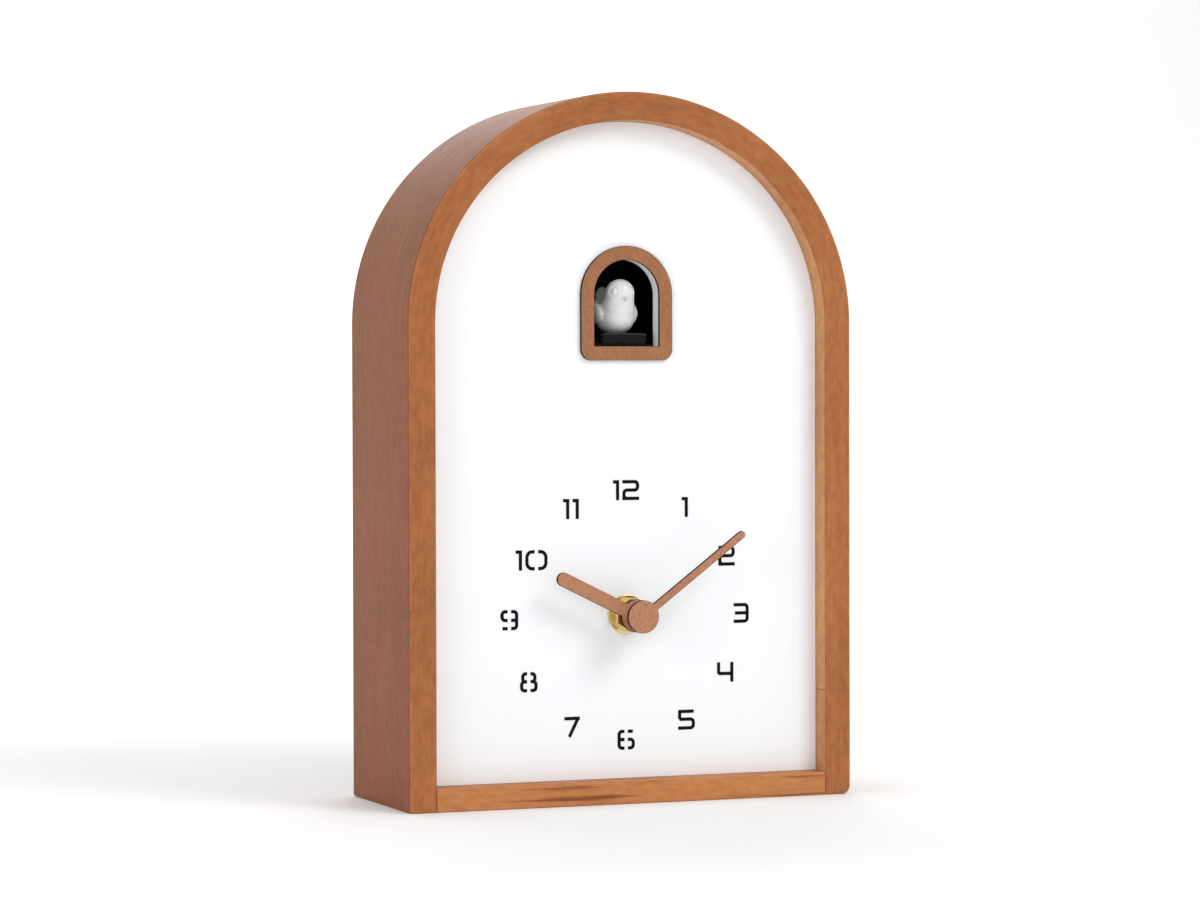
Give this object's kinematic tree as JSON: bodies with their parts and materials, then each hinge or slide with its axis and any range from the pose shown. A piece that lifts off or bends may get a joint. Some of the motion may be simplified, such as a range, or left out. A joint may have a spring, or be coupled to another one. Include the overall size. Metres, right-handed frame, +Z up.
{
  "type": "cuckoo clock",
  "caption": "Round-headed wooden table or wall cuckoo clock with a white dial, two hands and a small bird that slides out of an arched window.",
  "frame": {"origin": "middle of the case's bottom face", "axes": "+X to the right as seen from the front, +Y to the back, +Z up; the dial faces -Y"},
  "size_m": [0.2, 0.085, 0.299],
  "materials": {
    "stained_wood": "satin stained walnut tone",
    "trim_wood": "matt veneer with dark laser-cut edges",
    "dial_white": "matt white lacquer",
    "ink_black": "matt printed black",
    "brass": "polished",
    "steel": "brushed",
    "iron_sheet": "plain sheet",
    "black_plastic": "gloss black",
    "black_matt": "fine matt texture",
    "bird_white": "satin white",
    "movement_black": "moulded matt",
    "gear_plastic": "natural moulded",
    "gear_orange": "moulded",
    "copper_winding": "enamelled wire",
    "board_green": "solder mask",
    "chip_black": "moulded",
    "rubber": "matt",
    "pine": "sanded plain",
    "back_black": "fine matt texture",
    "zinc_screw": "zinc plated",
    "knob_black": "moulded",
    "paper_cone": "pressed paper",
    "magnet": "sintered",
    "sensor_lens": "clear",
    "cell_wrap": "printed sleeve",
    "nickel": "plated",
    "wire": "insulated"
  },
  "bodies": {
    "case": {"case_arch": "stained_wood", "bottom_board": "stained_wood", "dial_panel": "dial_white", "window_trim": "trim_wood", "dial_numerals": "ink_black", "threaded_bush": "brass", "dial_washer": "brass", "hand_nut": "brass", "rubber_washer": "rubber", "movement_case": "movement_black", "movement_cover": "movement_black", "train_plate": "gear_plastic", "stator": "iron_sheet", "stator_coil": "copper_winding", "movement_board": "board_green", "bird_house": "black_plastic", "house_screws": "zinc_screw", "bird_motor": "steel", "bird_gear_frame": "black_matt", "mounting_blocks": "pine", "cover_screws": "zinc_screw", "back_cover": "back_black", "hanger_plate": "steel", "control_board": "board_green", "board_parts": "chip_black", "control_bodies": "black_matt", "speaker": "iron_sheet", "speaker_cone": "paper_cone", "speaker_magnet": "magnet", "light_sensor": "sensor_lens", "battery_bay": "black_matt", "batteries": "cell_wrap", "battery_contacts": "nickel", "battery_leads": "wire", "motor_leads": "wire", "speaker_leads": "wire", "movement_leads": "wire"},
    "minute": {"minute_hand": "trim_wood", "minute_collet": "brass", "minute_arbor": "brass"},
    "hour": {"hour_hand": "trim_wood", "hour_collet": "brass", "hour_wheel": "brass"},
    "motion": {"motion_wheel": "gear_plastic"},
    "setting": {"setting_stem": "gear_plastic", "setting_knob": "knob_black"},
    "centre": {"centre_wheel": "gear_orange"},
    "third": {"third_wheel": "gear_plastic"},
    "seconds": {"seconds_wheel": "gear_plastic"},
    "fifth": {"fifth_wheel": "gear_plastic"},
    "rotor": {"rotor": "magnet"},
    "bird_slide": {"bird": "bird_white", "bird_sled": "black_plastic"},
    "rack_drive": {"rack_pinion": "gear_plastic", "reduction_gear": "gear_plastic"},
    "motor_shaft": {"motor_pinion": "steel"},
    "battery_door": {"battery_door": "back_black"},
    "mode_switch": {"mode_switch": "knob_black"},
    "volume": {"volume_knob": "knob_black"},
    "test_button": {"test_button": "knob_black"}
  },
  "joints": [
    {"name": "minute_turn", "type": "hinge", "parent": "case", "child": "minute", "pos_m": [0, -0.03, 0.0792], "axis": [0, 1, 0], "continuous": true},
    {"name": "hour_turn", "type": "hinge", "parent": "case", "child": "hour", "pos_m": [0, -0.03, 0.0792], "axis": [0, 1, 0], "continuous": true},
    {"name": "motion_turn", "type": "hinge", "parent": "case", "child": "motion", "pos_m": [-0.00831, -0.016, 0.084], "axis": [0, 1, 0], "continuous": true},
    {"name": "setting_turn", "type": "hinge", "parent": "case", "child": "setting", "pos_m": [-0.00331, 0.01, 0.09266], "axis": [0, 1, 0], "continuous": true},
    {"name": "rotor_turn", "type": "hinge", "parent": "case", "child": "rotor", "pos_m": [0.01975, -0.012, 0.08381], "axis": [0, 1, 0], "continuous": true},
    {"name": "fifth_turn", "type": "hinge", "parent": "case", "child": "fifth", "pos_m": [0.01411, -0.012, 0.08176], "axis": [0, 1, 0], "continuous": true},
    {"name": "seconds_turn", "type": "hinge", "parent": "case", "child": "seconds", "pos_m": [0.01289, -0.012, 0.07487], "axis": [0, 1, 0], "continuous": true},
    {"name": "third_turn", "type": "hinge", "parent": "case", "child": "third", "pos_m": [0.0051, -0.012, 0.07037], "axis": [0, 1, 0], "continuous": true},
    {"name": "centre_turn", "type": "hinge", "parent": "case", "child": "centre", "pos_m": [0, -0.013, 0.0792], "axis": [0, 1, 0], "continuous": true},
    {"name": "bird_out", "type": "slide", "parent": "case", "child": "bird_slide", "axis": [0, -1, 0], "range_m": [0, 0.012]},
    {"name": "rack_drive_turn", "type": "hinge", "parent": "case", "child": "rack_drive", "pos_m": [0, -0.004, 0.1864], "axis": [1, 0, 0], "range_deg": [-5, 150]},
    {"name": "motor_turn", "type": "hinge", "parent": "case", "child": "motor_shaft", "pos_m": [0.01, -0.004, 0.1794], "axis": [1, 0, 0], "range_deg": [-265, 10]},
    {"name": "battery_door_off", "type": "slide", "parent": "case", "child": "battery_door", "axis": [0, 1, 0], "range_m": [0, 0.02]},
    {"name": "mode_slide", "type": "slide", "parent": "case", "child": "mode_switch", "axis": [1, 0, 0], "range_m": [-0.0025, 0.0025]},
    {"name": "volume_turn", "type": "hinge", "parent": "case", "child": "volume", "pos_m": [-0.048, 0.033, 0.112], "axis": [0, 1, 0], "range_deg": [-135, 135]},
    {"name": "test_press", "type": "slide", "parent": "case", "child": "test_button", "axis": [0, -1, 0], "range_m": [0, 0.0015], "stiffness_N_per_m": 300}
  ],
  "couplings": [
    {"joint": "hour_turn", "follows": "minute_turn", "ratio": 0.083333},
    {"joint": "motion_turn", "follows": "minute_turn", "ratio": -0.33333},
    {"joint": "setting_turn", "follows": "minute_turn", "ratio": 0.85714},
    {"joint": "fifth_turn", "follows": "rotor_turn", "ratio": -0.2},
    {"joint": "seconds_turn", "follows": "rotor_turn", "ratio": 0.033333},
    {"joint": "third_turn", "follows": "rotor_turn", "ratio": -0.0041667},
    {"joint": "centre_turn", "follows": "rotor_turn", "ratio": 0.00055556},
    {"joint": "rack_drive_turn", "follows": "bird_out", "rad_per_m": 208.33},
    {"joint": "motor_turn", "follows": "bird_out", "rad_per_m": -375}
  ]
}
